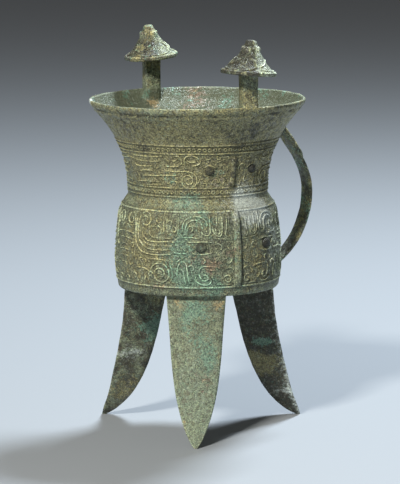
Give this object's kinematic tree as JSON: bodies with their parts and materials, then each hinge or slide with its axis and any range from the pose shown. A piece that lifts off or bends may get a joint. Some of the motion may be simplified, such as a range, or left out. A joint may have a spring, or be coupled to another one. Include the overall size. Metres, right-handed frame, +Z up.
{
  "type": "jia wine vessel",
  "caption": "Ancient cast bronze jia wine vessel: flared neck, masked belly, strap handle, capped posts on the lip and pointed sabre legs.",
  "frame": {"origin": "on the surface that the feet stand on, under the middle of the whole outline; the vessel's own axis is 7.55 mm toward -X of it, because the handle reaches past the lip on +X", "axes": "+Z up, +X toward the handle and the leg under it, -Y and +Y toward the posts and the middles of the masks"},
  "size_m": [0.1856, 0.2044, 0.3133],
  "materials": {
    "bronze": "rough green and brown bronze patina"
  },
  "bodies": {
    "root": {"jia_vessel": "bronze"}
  },
  "joints": []
}
